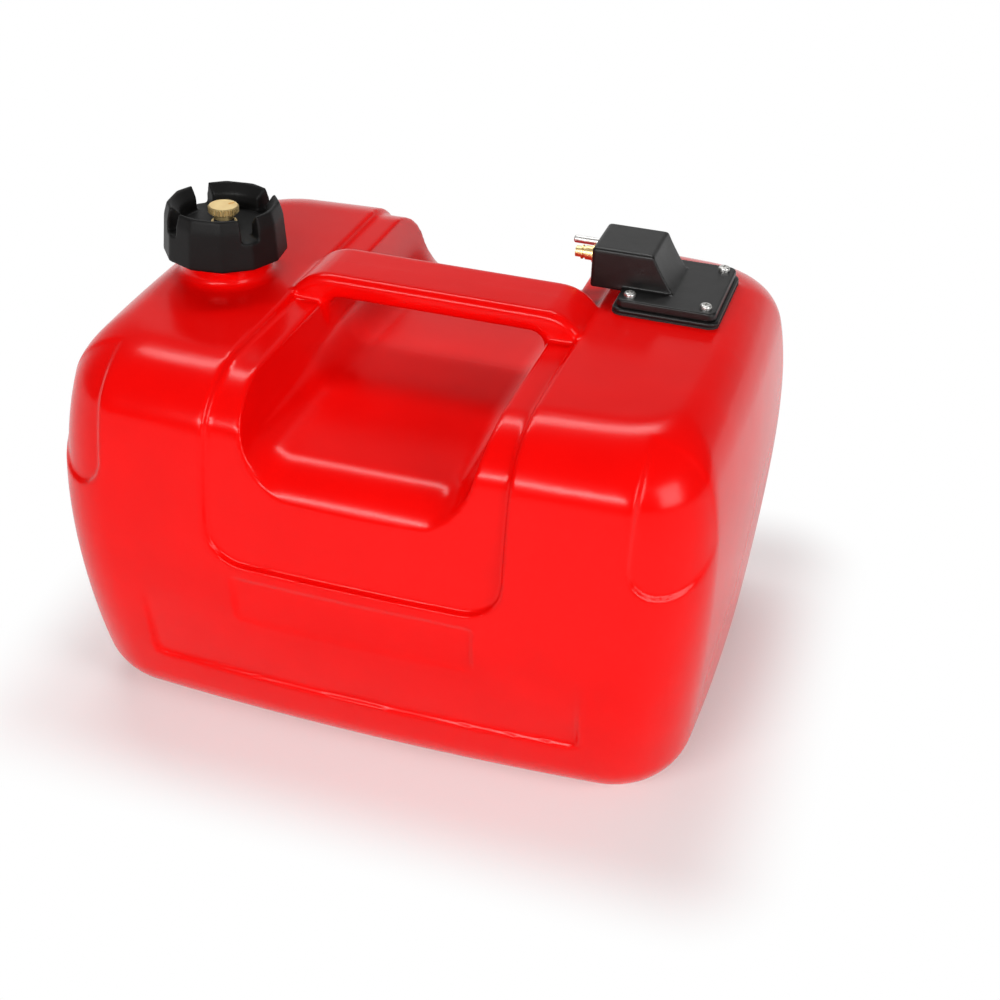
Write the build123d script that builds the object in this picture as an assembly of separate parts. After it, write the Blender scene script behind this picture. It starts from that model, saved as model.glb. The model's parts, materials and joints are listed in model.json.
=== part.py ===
from build123d import *
import math
import os

# Portable outboard fuel tank. Millimetres, +Z up, +X along the length towards the outlet, +Y to the back.
# The origin is on the floor under the middle of the tank.

# ---- overall sizes of the tank body ----
LENGTH = 370.0
DEPTH = 300.0
SHOULDER = 228.0            # height of the flat shoulders
WALL = 3.0
BOW_FRONT = 8.7             # how far the front and back bulge in plan
BOW_SIDE = 5.0
CORNER = 46.0               # plan radius of the vertical corners
BASE_ROUND = 38.0
BELLY = 140.0               # height at which the body is fullest
BASE_IN_X = 9.0             # how far the sides draw in at the base
BASE_IN_Y = 24.0
TOP_IN = 13.0               # how far all sides draw in at the shoulders
CROWN_X = 20.0              # the rounding above the walls reaches in this far at the ends
CROWN_Y = 37.0              # and this far at the front and back
CROWN_Z = 30.0              # height of the rounding
CROWN_STEPS = 6

# ---- pressed-in panel that runs from the front over the ledges to the back ----
PANEL_HALF = 81.5
PANEL_DEPTH = 4.0
PANEL_BOTTOM = 126.5
PANEL_ROUND = 22.0

# ---- recesses in the two front corners, which run out towards the ends ----
RECESS_WIDTH = 37.0
RECESS_FROM_END = 23.0      # from the tank's end to the middle of the recess
RECESS_X = LENGTH / 2 - RECESS_FROM_END
RECESS_DEPTH = 3.2
RECESS_SPREAD = 0.3         # the recess's surface passes this far outside the tank's end
RECESS_BOTTOM = 153.0
RECESS_ROUND = 18.0

# ---- framed panels low on the front and back ----
FRAME_HALF = 124.0
FRAME_BOTTOM = 45.0
FRAME_FADE = 98.0           # height at which the recess has run out to nothing
FRAME_DEPTH = 3.0           # at the frame's foot
FRAME_ROUND = 5.0
LABEL_HALF = 67.0
LABEL_BOTTOM = 89.5
LABEL_TOP = 119.0
LABEL_DEPTH = 1.6
LABEL_ROUND = 3.0

# ---- hand well and handle ----
WELL_HALF = 66.0            # half width of the well at the ledges
WELL_DRAFT = 10.0
WELL_DEPTH = 37.0           # from the shoulders to the floor's ridge, at the middle of the depth
WELL_FLOOR = SHOULDER - WELL_DEPTH
WELL_SLOPE = 2.0
WELL_ROUND = 20.0
RIDGE_ROUND = 150.0
LIP_ROUND = 30.0
LIP_BACK = 3.0              # the lip's front stands this far behind the fullest part of the body
LIP_OUT = DEPTH / 2 - LIP_BACK
HANDLE_HALF = 88.0
HANDLE_RISE = 12.0          # the bar's top stands this far above the shoulders
HANDLE_TOP = SHOULDER + HANDLE_RISE
HANDLE_THICK = 13.5
HANDLE_DEPTH = 44.0
HANDLE_END_ROUND = 26.0
HANDLE_GRIP_HALF = 63.0     # half of the clear length under the handle
HANDLE_INNER_ROUND = 8.0
HANDLE_EDGE_ROUND = 5.0
HANDLE_ROOT = 22.0          # the legs are rooted this far under the shoulders
HANDLE_FOOT = SHOULDER - HANDLE_ROOT

# ---- filler neck and its thread ----
NECK_FROM_END = 57.0        # from the tank's left end to the neck's axis
NECK_X = NECK_FROM_END - LENGTH / 2
NECK_Y = -11.0
NECK_OUTER = 24.5
NECK_BORE = 19.5
NECK_HEIGHT = 23.0
NECK_TOP = SHOULDER + NECK_HEIGHT
NECK_ROOT_ROUND = 5.0
NECK_ROOT_DEPTH = 5.0       # the neck's foot reaches this far under the shoulder
THREAD_PITCH = 6.0
THREAD_HEIGHT = 1.6
THREAD_BASE = 2.4
THREAD_CREST = 1.2
THREAD_TURNS = 1.1
THREAD_UNDER_RIM = 8.4      # the ridge starts this far under the neck's rim
THREAD_START = NECK_TOP - THREAD_UNDER_RIM
THREAD_ROOT = 0.3           # how far the ridge is rooted in the wall that carries it
THREAD_CLEARANCE = 0.5

# ---- filler cap ----
CAP_RADIUS = 35.0           # over the corners of the skirt, at its foot
CAP_FACETS = 12
CAP_SKIRT = 10.0            # the skirt hangs this far below the neck's rim
CAP_RISE = 19.0             # the crest stands this far above the neck's rim
CAP_BOTTOM = NECK_TOP - CAP_SKIRT
CAP_TOP = NECK_TOP + CAP_RISE
CAP_TAPER = 4.5             # lean of the skirt's facets, in degrees
CAP_EDGE_HEIGHT = 7.0       # height of the steeper facets under the crest
CAP_EDGE_TAPER = 16.0
CAP_DECK_THICK = 3.0
CAP_RING_INNER = 23.8
CAP_CREST_INNER = 28.8      # inside the crest the ring slopes down to CAP_RING_INNER
CAP_CREST_DROP = 5.5
CAP_NOTCH_WIDTH = 10.0
CAP_NOTCH_ANGLE = 52.0
CAP_NOTCHES = 4
GASKET_THICK = 3.0
GASKET_INNER = 19.5
GASKET_EDGE = 0.3           # free space round the gasket inside the cap

# ---- vent screw ----
VENT_HEAD_RADIUS = 8.6
VENT_HEAD_HEIGHT = 4.4
VENT_HEAD_CHAMFER = 0.8
VENT_COLLAR_RADIUS = 5.6    # between head and seal
VENT_COLLAR_HEIGHT = 3.0
VENT_STEM_RADIUS = 3.0
VENT_TIP_LENGTH = 1.8       # stem below its clip
VENT_KNURLS = 30
VENT_KNURL_RADIUS = 0.55
VENT_MARK = (3.6, 1.2, 0.8)
VENT_LIFT = 3.0
BUSH_RADIUS = 5.2
BUSH_LENGTH = 5.5
BUSH_FLANGE_RADIUS = 7.2
BUSH_FLANGE_THICK = 1.2
SEAL_RADIUS = 5.8
SEAL_THICK = 2.0
FIT = 0.05                  # running fit, on the radius
CLIP_RADIUS = 5.0
CLIP_THICK = 0.9
CLIP_GROOVE_RADIUS = 2.3
CLIP_STOP_GAP = 0.3         # left between clip and bush when the screw is fully up
CLIP_MOUTH = 3.2

# ---- outlet: flange, housing and its screws ----
OUTLET_FROM_END = 64.0      # from the tank's right end to the middle of the flange
OUTLET_FROM_BACK = 101.0
OUTLET_X = LENGTH / 2 - OUTLET_FROM_END
OUTLET_Y = DEPTH / 2 - OUTLET_FROM_BACK
PAD_RISE = 0.6              # the moulded pad stands this far above the shoulder
PAD_DEPTH = 9.0
FLANGE_SIZE = (60.0, 71.0)
FLANGE_CORNER = 6.0
FLANGE_THICK = 2.4
EDGE_CHAMFER = 0.7
OUTLET_GASKET_THICK = 1.2
PLATE_SIZE = (56.0, 67.0)
PLATE_CORNER = 4.5
PLATE_THICK = 4.8
SCREW_HALF_X = 21.3
SCREW_HALF_Y = 26.8
SCREW_RADIUS = 2.0
SCREW_HEAD_RADIUS = 3.3
SCREW_HEAD_HEIGHT = 2.4
SCREW_HEAD_ROUND = 1.2
SCREW_CROSS = (3.8, 0.9, 1.2)
SCREW_LENGTH = 15.0
SCREW_CLEARANCE = 0.3
INSERT_RADIUS = 3.6
INSERT_LENGTH = 8.0
BOSS_RADIUS = 6.6
BOSS_LENGTH = 12.0
BLOCK_LEFT = OUTLET_X - 46.7
BLOCK_RIGHT = OUTLET_X - 12.0   # right edge of the block's top
BLOCK_FOOT = OUTLET_X + 1.0     # right edge where the sloping side meets the plate
BLOCK_HOLLOW = 0.6          # how far the sloping side hollows in
BLOCK_BACK = 2.0            # the block's middle lies this far behind the plate's
BLOCK_DEPTH = 39.0
BLOCK_HEIGHT = 21.0         # above the plate
BLOCK_ROUND = 2.2

# ---- fuel nipple, check valve and guide pin ----
PIN_SPACING = 16.5
PIN_RISE = 12.5             # from the plate's top to the axes of nipple and guide pin
NIPPLE_LENGTH = 11.5        # stands out of the block this far
NIPPLE_RADIUS = 4.0
NIPPLE_TIP_RADIUS = 3.1
NIPPLE_TIP_LENGTH = 3.4
NIPPLE_GROOVE = (4.2, 1.6, 0.7)     # from the tip, width, depth
NIPPLE_COLLAR_RADIUS = 5.0
NIPPLE_COLLAR_LENGTH = 1.6
NIPPLE_ROOT_RADIUS = 5.5
NIPPLE_ROOT_LENGTH = 14.0
NIPPLE_HOLE = 1.6
CHAMBER_RADIUS = 2.8
CHAMBER_START = 5.0         # from the nipple's tip
POPPET_RADIUS = 2.5
POPPET_STEM_RADIUS = 1.1
POPPET_STEM_LENGTH = 4.2
POPPET_HEAD = 3.0
POPPET_TRAVEL = 2.5
RETAINER_LENGTH = 2.5
RETAINER_HOLE = 1.5
SPRING_WIRE = 0.25
SPRING_RADIUS = 1.9
SPRING_COILS = 7
O_RING_WIRE = 0.8
NIPPLE_RING_PLACE = 8.0     # from the block's face
GUIDE_LENGTH = 17.0
GUIDE_RADIUS = 2.2
GUIDE_ROOT_RADIUS = 2.8
GUIDE_ROOT_LENGTH = 10.0
GUIDE_TIP_ROUND = 1.2

# ---- pickup tube and strainer ----
TUBE_X = OUTLET_X - 17.0
PORT_RADIUS = 10.5
TUBE_RADIUS = 4.5
TUBE_BORE = 3.25
TUBE_TOP_RISE = 3.0         # the tube ends this far above the plate's top
TUBE_BOTTOM = 27.0
SPIGOT_RADIUS = 8.0
SPIGOT_LENGTH = 17.0
SPIGOT_CLEARANCE = 0.4
PASSAGE_RADIUS = 3.0
TUBE_RING_DROP = 12.5       # its ring lies this far under the plate's top
STRAINER_RADIUS = 9.0
STRAINER_BOTTOM = 5.5
STRAINER_FLOOR = 2.0
STRAINER_TOP = 38.0
STRAINER_WALL = 1.5
STRAINER_COLLAR = 6.6
STRAINER_BARS = 6
STRAINER_BAR_WIDTH = 2.4
MESH_THICK = 0.4

# ---- places that follow from the sizes above ----
PAD_TOP = SHOULDER + PAD_RISE
GASKET_TOP = PAD_TOP + OUTLET_GASKET_THICK
FLANGE_TOP = GASKET_TOP + FLANGE_THICK
PLATE_TOP = FLANGE_TOP + PLATE_THICK
BLOCK_TOP = PLATE_TOP + BLOCK_HEIGHT
BLOCK_Y = OUTLET_Y + BLOCK_BACK
PIN_HEIGHT = PLATE_TOP + PIN_RISE
TUBE_TOP = PLATE_TOP + TUBE_TOP_RISE
TUBE_RING_HEIGHT = PLATE_TOP - TUBE_RING_DROP
NIPPLE_Y = BLOCK_Y - PIN_SPACING / 2
GUIDE_Y = BLOCK_Y + PIN_SPACING / 2
NIPPLE_TIP = BLOCK_LEFT - NIPPLE_LENGTH
NIPPLE_END = BLOCK_LEFT + NIPPLE_ROOT_LENGTH
CHAMBER_X = NIPPLE_TIP + CHAMBER_START
RETAINER_X = NIPPLE_END - RETAINER_LENGTH
DECK_LOW = NECK_TOP + GASKET_THICK
DECK_TOP = DECK_LOW + CAP_DECK_THICK
CAP_BORE = NECK_OUTER + THREAD_HEIGHT + THREAD_CLEARANCE
BUSH_TOP = DECK_TOP + BUSH_FLANGE_THICK
BUSH_LOW = BUSH_TOP - BUSH_FLANGE_THICK - BUSH_LENGTH
HEAD_LOW = BUSH_TOP + SEAL_THICK
CLIP_TOP = BUSH_LOW - VENT_LIFT - CLIP_STOP_GAP
CLIP_LOW = CLIP_TOP - CLIP_THICK
REACH = max(LENGTH, DEPTH)  # longer than any cut through the body
TINY = 0.01                 # tolerance for picking edges by their place


def plan_outline(half_x, half_y, corner, height):
    """The bowed, round-cornered outline of the body at one height."""
    end_x = half_x - BOW_SIDE
    end_y = half_y - BOW_FRONT
    front = ThreePointArc((-end_x, -end_y), (0, -half_y), (end_x, -end_y))
    right = ThreePointArc((end_x, -end_y), (half_x, 0), (end_x, end_y))
    back = ThreePointArc((end_x, end_y), (0, half_y), (-end_x, end_y))
    left = ThreePointArc((-end_x, end_y), (-half_x, 0), (-end_x, -end_y))
    face = make_face(Wire([front, right, back, left]))
    face = fillet(face.vertices(), corner)
    return Pos(0, 0, height) * face


def body_section(height, crown, side, low_depth):
    """The body's outline at one height; crown runs from 0 at the top of the walls to 1 at the flat shoulders."""
    if height < BELLY:
        share = ((BELLY - height) / BELLY) ** 2
        in_x = BASE_IN_X * share
        in_y = BASE_IN_Y * share
    else:
        share = ((height - BELLY) / (SHOULDER - BELLY)) ** 2
        in_x = TOP_IN * share + (CROWN_X - side) * crown
        in_y = TOP_IN * share + (CROWN_Y - side) * crown
    inset = side + low_depth * min((FRAME_FADE - height) / (FRAME_FADE - FRAME_BOTTOM), 1)
    corner = CORNER - inset - (CROWN_X - side) * crown
    return plan_outline(LENGTH / 2 - in_x - inset, DEPTH / 2 - in_y - inset, corner, height)


def body_form(side, top, base, low_depth=0):
    """The plain body without its panels, drawn in by side, top and base.

    With low_depth the sides draw in further below FRAME_FADE, and stand out a little above it.
    """
    wall_top = SHOULDER - CROWN_Z
    levels = [base, BELLY / 3, BELLY * 2 / 3, BELLY, (BELLY + wall_top) / 2, wall_top]
    walls = loft([body_section(height, 0, side, low_depth) for height in levels])
    foot = walls.edges().filter_by_position(Axis.Z, base, base)
    walls = fillet(foot, BASE_ROUND - side)
    rounding = []
    for step in range(CROWN_STEPS + 1):
        turn = step * math.pi / 2 / CROWN_STEPS
        height = wall_top + (CROWN_Z - top) * math.sin(turn)
        rounding.append(body_section(height, 1 - math.cos(turn), side, low_depth))
    return walls + loft(rounding)


def panel_prism(skin):
    """The U-shaped zone pressed in from the front, over the top, to the back."""
    height = SHOULDER + WALL - PANEL_BOTTOM + skin
    zone = Pos(0, PANEL_BOTTOM - skin + height / 2) * Rectangle(2 * (PANEL_HALF + skin), height)
    zone = fillet(zone.vertices().sort_by(Axis.Y)[:2], PANEL_ROUND + skin)
    return extrude(Plane.XZ * zone, REACH, both=True)


def corner_prism(side, skin):
    """The zone of one recess in a front corner."""
    height = SHOULDER + WALL - RECESS_BOTTOM + skin
    zone = Pos(side * RECESS_X, RECESS_BOTTOM - skin + height / 2) * Rectangle(RECESS_WIDTH + 2 * skin, height)
    zone = fillet(zone.vertices().sort_by(Axis.Y)[:2], RECESS_ROUND + skin)
    front = Plane(origin=(0, CORNER - DEPTH / 2, 0), x_dir=(1, 0, 0), z_dir=(0, -1, 0))
    return extrude(front * zone, 2 * CORNER)


def well_tool(skin):
    """The hand well: a trough through the whole depth, with a low ridge and a rounded lip at each end."""
    slope = math.tan(math.radians(WELL_SLOPE))
    draft = math.tan(math.radians(WELL_DRAFT))
    lip_round = LIP_ROUND - skin
    floor = WELL_FLOOR - skin
    lip_y = LIP_OUT - LIP_ROUND
    top = HANDLE_TOP + WELL_DEPTH
    low = PANEL_BOTTOM
    out = LIP_OUT + 2 * WELL_ROUND
    angle = math.radians(WELL_SLOPE)
    lip_start = (-lip_y - lip_round * math.sin(angle), 0)
    arc_centre = floor - slope * (lip_y + lip_round * math.sin(angle)) - lip_round * math.cos(angle)
    arc_end = (-(lip_y + lip_round), arc_centre)
    mid = math.radians(WELL_SLOPE / 2 + 45)
    arc_mid = (-(lip_y + lip_round * math.sin(mid)), arc_centre + lip_round * math.cos(mid))
    arc_start = (lip_start[0], arc_centre + lip_round * math.cos(angle))
    ridge_y = RIDGE_ROUND * math.sin(angle)
    ridge_z = floor - slope * ridge_y
    ridge_top = ridge_z + RIDGE_ROUND * (1 - math.cos(angle))

    def mirrored(point):
        return (-point[0], point[1])

    outer = (-out, low)
    foot = (arc_end[0], low)
    lines = [
        Line((-out, top), outer),
        Line(outer, foot),
        Line(foot, arc_end),
        ThreePointArc(arc_end, arc_mid, arc_start),
        Line(arc_start, (-ridge_y, ridge_z)),
        ThreePointArc((-ridge_y, ridge_z), (0, ridge_top), (ridge_y, ridge_z)),
        Line((ridge_y, ridge_z), mirrored(arc_start)),
        ThreePointArc(mirrored(arc_start), mirrored(arc_mid), mirrored(arc_end)),
        Line(mirrored(arc_end), mirrored(foot)),
        Line(mirrored(foot), mirrored(outer)),
        Line(mirrored(outer), (out, top)),
        Line((out, top), (-out, top)),
    ]
    lengthwise = extrude(Plane.YZ * make_face(Wire(lines)), REACH / 2, both=True)
    ledge = SHOULDER - PANEL_DEPTH
    half_low = WELL_HALF + skin - draft * (ledge - low)
    half_top = WELL_HALF + skin + draft * (top - ledge)
    trough = make_face(Polyline((-half_low, low), (half_low, low), (half_top, top), (-half_top, top), close=True))
    crosswise = extrude(Plane.XZ * trough, REACH, both=True)
    tool = lengthwise & crosswise
    bottom_edges = [
        edge for edge in tool.edges()
        if abs(edge.center().X) > half_low - FIT
        and abs(edge.center().Y) < arc_centre
        and edge.center().Z < floor + FIT
        and abs(edge.center().Y) < lip_y + lip_round + FIT
        and edge.length > FIT
        and abs(edge.position_at(0).X - edge.position_at(1).X) < half_low
    ]
    bottom_edges = [edge for edge in bottom_edges if edge.center().Z > low + FIT]
    return fillet(bottom_edges, WELL_ROUND - skin)


def handle_bar(skin):
    """The carrying handle: a bar across the well whose ends curve down on to the ledges."""
    half = HANDLE_HALF - skin
    top = HANDLE_TOP - skin
    grip = HANDLE_GRIP_HALF + skin
    under = HANDLE_TOP - HANDLE_THICK + skin
    foot = HANDLE_FOOT
    profile = make_face(Polyline(
        (-half, foot), (-half, top), (half, top), (half, foot),
        (grip, foot), (grip, under), (-grip, under), (-grip, foot), close=True))
    ends = profile.vertices().filter_by_position(Axis.Y, top, top)
    profile = fillet(ends, HANDLE_END_ROUND - skin)
    inner = profile.vertices().filter_by_position(Axis.Y, under, under)
    profile = fillet(inner, HANDLE_INNER_ROUND - skin)
    bar = extrude(Plane.XZ * profile, HANDLE_DEPTH / 2 - skin, both=True)
    long_edges = [edge for edge in bar.edges()
                  if abs(abs(edge.center().Y) - (HANDLE_DEPTH / 2 - skin)) < FIT and edge.center().Z > foot + FIT]
    return fillet(long_edges, HANDLE_EDGE_ROUND - skin)


def frame_prism(half, low, high, corner, skin):
    """The zone of a framed panel on the front and back."""
    zone = Pos(0, (low + high) / 2) * Rectangle(2 * (half + skin), high - low + 2 * skin)
    zone = fillet(zone.vertices(), corner + skin)
    return extrude(Plane.XZ * zone, REACH, both=True)


def pressed_body(skin):
    """The body with its panels, recesses, well and handle, drawn in by skin."""
    body = body_form(skin, skin, skin)
    wide_frame = frame_prism(FRAME_HALF, FRAME_BOTTOM, PANEL_BOTTOM, FRAME_ROUND, skin)
    body -= wide_frame - body_form(skin, skin, skin, FRAME_DEPTH)
    label_frame = frame_prism(LABEL_HALF, LABEL_BOTTOM, LABEL_TOP, LABEL_ROUND, skin)
    body -= label_frame - body_form(skin + LABEL_DEPTH, skin, skin)
    body -= panel_prism(skin) - body_form(skin + PANEL_DEPTH, skin + PANEL_DEPTH, skin)
    set_back = body_form(skin, skin - PAD_RISE, skin)
    for side in (-1, 1):
        body -= corner_prism(side, skin) - Pos(side * RECESS_SPREAD, RECESS_DEPTH, 0) * set_back
    body -= well_tool(skin)
    return body + handle_bar(skin)


def post(x, y, radius, low, high):
    """An upright cylinder between two heights."""
    return Pos(x, y, (low + high) / 2) * Cylinder(radius, high - low)


def rod(start, end, y, radius):
    """A cylinder along X at the height of the nipple and the guide pin."""
    return Pos((start + end) / 2, y, PIN_HEIGHT) * Rot(0, 90, 0) * Cylinder(radius, end - start)


def slab(size, corner, low, high):
    """A round-cornered plate at the outlet, between two heights."""
    outline = Rectangle(size[0], size[1])
    outline = fillet(outline.vertices(), corner)
    return extrude(Pos(OUTLET_X, OUTLET_Y, low) * outline, high - low)


def at_screws(make):
    """One copy of a piece at each of the outlet's four screws."""
    pieces = []
    for side_x in (-1, 1):
        for side_y in (-1, 1):
            pieces.append(make(OUTLET_X + side_x * SCREW_HALF_X, OUTLET_Y + side_y * SCREW_HALF_Y))
    return pieces


def at_neck(piece):
    """Moves a piece made on the Z axis to the axis of the filler neck."""
    return Pos(NECK_X, NECK_Y, 0) * piece


def o_ring(inner):
    """A round-section ring about the Z axis, by its inner radius."""
    return Torus(inner + O_RING_WIRE, O_RING_WIRE)


def thread_ridge(root, crest, turn_start):
    """One thread ridge about the Z axis, from the radius that carries it towards its crest."""
    height = THREAD_PITCH * THREAD_TURNS
    path = Helix(THREAD_PITCH, height, root)
    outward = 1 if crest > root else -1
    back = -outward * THREAD_ROOT
    tip = crest - root
    section = Plane(origin=path @ 0, x_dir=(1, 0, 0), z_dir=path % 0)
    shape = make_face(Polyline(
        (back, -THREAD_BASE / 2), (tip, -THREAD_CREST / 2), (tip, THREAD_CREST / 2), (back, THREAD_BASE / 2),
        close=True))
    ridge = sweep(section * shape, path=path, is_frenet=True)
    return Pos(0, 0, THREAD_START) * Rot(0, 0, turn_start) * ridge


def tank_body():
    """The blow-moulded tank: shell, handle, neck, outlet pad and the bosses of its inserts."""
    shell = pressed_body(0) - pressed_body(WALL)
    shell += slab(FLANGE_SIZE, FLANGE_CORNER, SHOULDER - PAD_DEPTH, PAD_TOP)
    shell -= post(TUBE_X, NIPPLE_Y, PORT_RADIUS, SHOULDER - PAD_DEPTH, PAD_TOP)
    bosses = at_screws(lambda x, y: post(x, y, BOSS_RADIUS, PAD_TOP - BOSS_LENGTH, PAD_TOP))
    holes = at_screws(lambda x, y: post(x, y, INSERT_RADIUS, PAD_TOP - INSERT_LENGTH, PAD_TOP))
    for boss in bosses:
        shell += boss
    for hole in holes:
        shell -= hole
    flare = NECK_OUTER + NECK_ROOT_ROUND
    foot = SHOULDER - NECK_ROOT_DEPTH
    bend = SHOULDER + NECK_ROOT_ROUND
    arc_in = NECK_ROOT_ROUND * (1 - math.cos(math.radians(45)))
    half = make_face(Wire([
        Line((0, foot), (flare, foot)),
        Line((flare, foot), (flare, SHOULDER)),
        ThreePointArc((flare, SHOULDER), (NECK_OUTER + arc_in, SHOULDER + arc_in), (NECK_OUTER, bend)),
        Line((NECK_OUTER, bend), (NECK_OUTER, NECK_TOP)),
        Line((NECK_OUTER, NECK_TOP), (0, NECK_TOP)),
        Line((0, NECK_TOP), (0, foot)),
    ]))
    neck = revolve(Plane.XZ * half, Axis.Z)
    neck += thread_ridge(NECK_OUTER, NECK_OUTER + THREAD_HEIGHT, 0)
    shell += at_neck(neck)
    return shell - post(NECK_X, NECK_Y, NECK_BORE, foot - WALL, NECK_TOP)


def cap_prism(radius, low, high, taper):
    """A faceted, tapering piece of the cap, with a facet corner at each notch."""
    outline = Rot(0, 0, CAP_NOTCH_ANGLE) * RegularPolygon(radius, CAP_FACETS)
    return extrude(Pos(0, 0, low) * outline, high - low, taper=taper)


def filler_cap():
    """The castellated cap, with the thread that grips the neck."""
    shoulder = CAP_TOP - CAP_EDGE_HEIGHT
    lean = math.tan(math.radians(CAP_TAPER)) / math.cos(math.pi / CAP_FACETS)
    cap = cap_prism(CAP_RADIUS, CAP_BOTTOM, shoulder, CAP_TAPER)
    cap += cap_prism(CAP_RADIUS - lean * (shoulder - CAP_BOTTOM), shoulder, CAP_TOP, CAP_EDGE_TAPER)
    hollow = make_face(Polyline(
        (0, DECK_TOP), (CAP_RING_INNER, DECK_TOP), (CAP_RING_INNER, CAP_TOP - CAP_CREST_DROP),
        (CAP_CREST_INNER, CAP_TOP), (0, CAP_TOP), close=True))
    cap -= revolve(Plane.XZ * hollow, Axis.Z)
    cap -= post(0, 0, CAP_BORE, CAP_BOTTOM, DECK_LOW)
    notch = Box(CAP_RADIUS, CAP_NOTCH_WIDTH, CAP_TOP - DECK_TOP, align=(Align.MIN, Align.CENTER, Align.MIN))
    for index in range(CAP_NOTCHES):
        cap -= Rot(0, 0, CAP_NOTCH_ANGLE + index * 360 / CAP_NOTCHES) * Pos(0, 0, DECK_TOP) * notch
    cap += thread_ridge(CAP_BORE, NECK_OUTER + THREAD_CLEARANCE, 180)
    cap -= post(0, 0, BUSH_RADIUS, DECK_LOW, DECK_TOP)
    return at_neck(cap)


def cap_gasket():
    gasket = post(0, 0, CAP_BORE - GASKET_EDGE, NECK_TOP, DECK_LOW)
    return at_neck(gasket - post(0, 0, GASKET_INNER, NECK_TOP, DECK_LOW))


def vent_bush():
    """The brass bush in the cap's deck that the vent screw turns in."""
    bush = post(0, 0, BUSH_RADIUS, BUSH_LOW, DECK_TOP) + post(0, 0, BUSH_FLANGE_RADIUS, DECK_TOP, BUSH_TOP)
    return at_neck(bush - post(0, 0, VENT_STEM_RADIUS + FIT, BUSH_LOW, BUSH_TOP))


def vent_seal():
    seal = post(0, 0, SEAL_RADIUS, BUSH_TOP, HEAD_LOW)
    return at_neck(seal - post(0, 0, VENT_STEM_RADIUS + FIT, BUSH_TOP, HEAD_LOW))


def vent_screw():
    """The knurled brass screw that opens and shuts the vent."""
    head_foot = HEAD_LOW + VENT_COLLAR_HEIGHT
    head_top = head_foot + VENT_HEAD_HEIGHT
    head = post(0, 0, VENT_HEAD_RADIUS, head_foot, head_top)
    head = chamfer(head.edges().filter_by(GeomType.CIRCLE), VENT_HEAD_CHAMFER)
    for index in range(VENT_KNURLS):
        groove = post(VENT_HEAD_RADIUS, 0, VENT_KNURL_RADIUS, head_foot, head_top)
        head -= Rot(0, 0, index * 360 / VENT_KNURLS) * groove
    mark = Box(*VENT_MARK)
    place = Pos(VENT_HEAD_RADIUS - VENT_MARK[0], 0, head_top - VENT_MARK[2] / 2)
    head -= Rot(0, 0, CAP_NOTCH_ANGLE) * place * mark
    head += post(0, 0, VENT_COLLAR_RADIUS, HEAD_LOW, head_foot)
    stem = post(0, 0, VENT_STEM_RADIUS, CLIP_LOW - VENT_TIP_LENGTH, HEAD_LOW)
    groove = post(0, 0, VENT_STEM_RADIUS, CLIP_LOW, CLIP_TOP) - post(0, 0, CLIP_GROOVE_RADIUS, CLIP_LOW, CLIP_TOP)
    return at_neck(head + stem - groove)


def vent_clip():
    """The open clip in the stem's groove that keeps the vent screw in the cap."""
    clip = post(0, 0, CLIP_RADIUS, CLIP_LOW, CLIP_TOP) - post(0, 0, CLIP_GROOVE_RADIUS, CLIP_LOW, CLIP_TOP)
    mouth = Pos(0, 0, CLIP_LOW) * Box(CLIP_RADIUS, CLIP_MOUTH, CLIP_THICK, align=(Align.MIN, Align.CENTER, Align.MIN))
    return at_neck(clip - mouth)


def outlet_gasket():
    gasket = slab(FLANGE_SIZE, FLANGE_CORNER, PAD_TOP, GASKET_TOP)
    for hole in at_screws(lambda x, y: post(x, y, SCREW_RADIUS + SCREW_CLEARANCE, PAD_TOP, GASKET_TOP)):
        gasket -= hole
    return gasket - post(TUBE_X, NIPPLE_Y, SPIGOT_RADIUS + SPIGOT_CLEARANCE, PAD_TOP, GASKET_TOP)


def outlet_flange():
    flange = slab(FLANGE_SIZE, FLANGE_CORNER, GASKET_TOP, FLANGE_TOP)
    flange = chamfer(flange.edges().filter_by_position(Axis.Z, FLANGE_TOP, FLANGE_TOP), EDGE_CHAMFER)
    for hole in at_screws(lambda x, y: post(x, y, SCREW_RADIUS + SCREW_CLEARANCE, GASKET_TOP, FLANGE_TOP)):
        flange -= hole
    return flange - post(TUBE_X, NIPPLE_Y, SPIGOT_RADIUS + SPIGOT_CLEARANCE, GASKET_TOP, FLANGE_TOP)


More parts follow.
